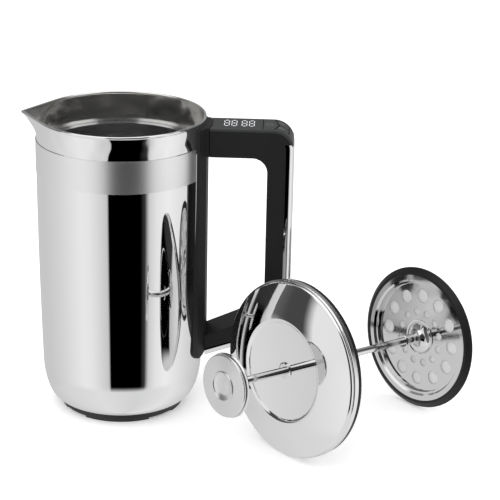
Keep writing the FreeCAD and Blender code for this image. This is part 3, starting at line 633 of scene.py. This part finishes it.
# %% [markdown]
# ## The three marks
# The print is a thin grey ink, lighter than the key under it. The power mark sits a little nearer the
# digits than the middle of its key. Each mark is drawn just above its key and then falls straight down
# onto it, and it rides with the key, so it goes in when the key is pressed.

# %% Marks
mark_finish = moulded("grey_print", (0.16, 0.16, 0.165), (0.20, 0.20, 0.205), 0.45, 0.55, 6000, 0.002)
line = 0.0004
bold_line = 0.00045
big_reach = 0.0024
small_reach = 0.0019
back_step = 0.0004
power_low, power_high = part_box("power_button")
start_height = power_high.z + 0.002


def above_middle(key):
    """A place over a key's middle, a little back from it."""
    low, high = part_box(key)
    return ((low.x + high.x) / 2 - back_step, (low.y + high.y) / 2, start_height)


power_at = (power_low.x + 0.40 * (power_high.x - power_low.x), 0, start_height)
power_parts = [open_ring("ring", big_reach, bold_line, 50, 90),
               stroke("bar", 0.0020, bold_line, (0, 0.0020), 90)]
print_on(power_parts, "power_mark", "power_button", "power_key", power_at)
timer_parts = [open_ring("ring", small_reach, line, 0, 0),
               stroke("hand", 0.0012, line, (0, 0.0005), 90),
               stroke("short_hand", 0.0009, line, (0.0004, 0), 0)]
print_on(timer_parts, "timer_mark", "timer_button", "timer_key", above_middle("timer_button"))
tare_parts = [open_ring("ring", small_reach, line, 0, 0),
              stroke("bar", 0.0018, line, (0, 0), 90)]
print_on(tare_parts, "tare_mark", "tare_button", "tare_key", above_middle("tare_button"))

# %% [markdown]
# ## Table
# The table is plain and pale. Polished faces do not show it: they show the room described below. It gives
# off a little light of its own, so that it stays pale under the press as well.

# %% Table
table_radius = 6.0
table_glow = 0.28
table_height = cad_box[0][2]
bpy.ops.object.select_all(action="DESELECT")
bpy.ops.mesh.primitive_circle_add(vertices=96, radius=table_radius, fill_type="NGON",
                                  location=(0, 0, table_height))
table = bpy.context.object
table.name = "table"
bpy.ops.object.transform_apply(location=True, rotation=True, scale=True)
table_finish = Finish("pale_table", Roughness=0.9, Emission_Strength=table_glow,
                      Emission_Color=(1, 1, 1, 1))
table_finish.tint(table_finish.noise(3, 2), (0.93, 0.93, 0.93), (0.95, 0.95, 0.95))
table.data.materials.append(table_finish.material)
table.visible_glossy = False
print("table at", round(table_height * 1000, 3), "mm")

# %% [markdown]
# ## The room the steel shows
# Upright steel seen from above shows what lies low in the room, and the lid, which leans back, shows what
# stands higher. So the room has four layers. The floor is plain and pale. Above it stands a pale tent with
# one dark gap on the camera's side, which a polished pot shows as a black stripe down its front. Higher up
# is a dark studio with two tall softboxes, and overhead one bright ceiling. Each of the first three is
# brightness against compass bearing, from -180 to 180 degrees.

# %% What the room looks like
floor_stops = [(-180, 0.82), (-120, 0.90), (-60, 0.80), (0, 0.95), (90, 0.60), (180, 0.82)]
low_stops = [(-180, 0.80), (-160, 0.90), (-141, 1.00), (-129, 0.97), (-118, 0.86), (-106, 0.72),
             (-103, 0.66), (-102, 0.0), (-58, 0.0), (-52, 0.05), (-46, 0.75), (-35, 0.95), (-18, 1.05),
             (0, 0.95), (25, 0.80), (60, 0.65), (95, 0.50), (120, 0.65), (150, 0.70), (180, 0.80)]
high_stops = [(-180, 0.07), (-171, 0.07), (-166, 0.95), (-112, 0.90), (-107, 0.05), (-50, 0.04),
              (-46, 0.90), (-5, 0.95), (1, 0.06), (30, 0.12), (60, 0.32), (150, 0.30), (175, 0.12),
              (180, 0.07)]
overhead = 1.3
floor_to_low = (-37, -31)
low_to_high = (-8, -3)
high_to_overhead = (46, 60)
even_light = 1.0
backdrop = 0.97
print("room drawn with", len(low_stops) + len(floor_stops) + len(high_stops), "stops")

# %% [markdown]
# ## Drawing the room with nodes
# The sky is a world shader. A ray's direction gives its compass bearing and its rise. A colour ramp turns
# the bearing into brightness, and a smooth step between two heights goes from one layer to the next.

# %% Sky helpers
world = bpy.data.worlds.new("tent")
bpy.context.scene.world = world
world.use_nodes = True
sky = world.node_tree
sky.nodes.clear()


def sky_node(kind, **settings):
    made = sky.nodes.new(kind)
    for key, value in settings.items():
        setattr(made, key, value)
    return made


def sky_math(operation, *values):
    made = sky_node("ShaderNodeMath", operation=operation)
    for socket, value in zip(made.inputs, values):
        if isinstance(value, (int, float)):
            socket.default_value = value
        else:
            sky.links.new(value, socket)
    return made.outputs["Value"]


def around(stops, fac):
    """Brightness against compass bearing."""
    ramp = sky_node("ShaderNodeValToRGB")
    sky.links.new(fac, ramp.inputs["Fac"])
    while len(ramp.color_ramp.elements) > 1:
        ramp.color_ramp.elements.remove(ramp.color_ramp.elements[-1])
    for i, (degrees, grey) in enumerate(stops):
        place = (degrees + 180) / 360
        stop = ramp.color_ramp.elements[0] if i == 0 else ramp.color_ramp.elements.new(place)
        stop.position = place
        stop.color = (grey, grey, grey, 1)
    return ramp.outputs["Color"]


def layer(first, second, value, start, end):
    """Go smoothly from one colour or grey to another as a value goes from start to end."""
    step = sky_node("ShaderNodeMapRange", interpolation_type="SMOOTHSTEP")
    step.inputs["From Min"].default_value = start
    step.inputs["From Max"].default_value = end
    sky.links.new(value, step.inputs["Value"])
    mixed = sky_node("ShaderNodeMix", data_type="RGBA")
    sky.links.new(step.outputs["Result"], mixed.inputs["Factor"])
    for socket, shade in (("A", first), ("B", second)):
        if isinstance(shade, (int, float)):
            mixed.inputs[socket].default_value = (shade, shade, shade, 1)
        else:
            sky.links.new(shade, mixed.inputs[socket])
    return mixed.outputs["Result"]


print("the sky starts with", len(sky.nodes), "nodes")

# %% [markdown]
# ## Who sees the room
# Only polished faces ask for this room, by glossy rays. Matt faces get one even soft light instead, so
# the dark gap does not leave its shade on the plastic, and the camera sees a plain pale backdrop.

# %% World
way = sky_node("ShaderNodeSeparateXYZ")
sky.links.new(sky_node("ShaderNodeTexCoord").outputs["Generated"], way.inputs["Vector"])
turn_round = sky_math("ARCTAN2", way.outputs["Y"], way.outputs["X"])
bearing = sky_math("MULTIPLY_ADD", turn_round, 0.5 / math.pi, 0.5)
rise = sky_math("DEGREES", sky_math("ARCSINE", way.outputs["Z"]))
room = layer(around(floor_stops, bearing), around(low_stops, bearing), rise, *floor_to_low)
room = layer(room, around(high_stops, bearing), rise, *low_to_high)
room = layer(room, overhead, rise, *high_to_overhead)
seen = sky_node("ShaderNodeLightPath")
lit_room = layer(even_light, room, seen.outputs["Is Glossy Ray"], 0.4, 0.6)
shown = layer(lit_room, backdrop, seen.outputs["Is Camera Ray"], 0.4, 0.6)
glow = sky_node("ShaderNodeBackground")
sky.links.new(shown, glow.inputs["Color"])
sky.links.new(glow.outputs["Background"], sky_node("ShaderNodeOutputWorld").inputs["Surface"])
print("the sky has", len(sky.nodes), "nodes")

# %% [markdown]
# ## Two soft lamps
# An even light alone would leave the matt pieces flat. Two broad, weak lamps, one overhead and one from
# the right, give them their shape and leave a faint shadow. Reflections do not show the lamps.

# %% Lamps
def lamp(name, place, aim, size, watts):
    """A square soft lamp at place, turned towards aim."""
    data = bpy.data.lights.new(name, "AREA")
    data.shape = "SQUARE"
    data.size = size
    data.energy = watts
    made = bpy.data.objects.new(name, data)
    bpy.context.scene.collection.objects.link(made)
    made.location = place
    made.rotation_euler = (Vector(aim) - Vector(place)).to_track_quat("-Z", "Y").to_euler()
    made.visible_camera = False
    made.visible_glossy = False
    print(name, "of", watts, "W")


middle = (rod_middle.x / 2, 0, 0.1)
lamp("top_lamp", (-0.4, -0.6, 1.6), middle, size=1.8, watts=9)
lamp("side_lamp", (1.4, -0.5, 1.0), middle, size=1.4, watts=4)

# %% [markdown]
# ## How the picture is shown
# Film-like tone curves grey down a white tent, so the plain Standard curve is used.

# %% Tone
bpy.context.scene.view_settings.view_transform = "Standard"
bpy.context.scene.view_settings.look = "None"
print("tone:", bpy.context.scene.view_settings.view_transform)

# %% [markdown]
# ## The packed size
# Printed marks lie on the keys. The packed box, from the first cell, is printed.

# %% Packed size
print("packed box", [[round(v, 4) for v in c] for c in cad_box])
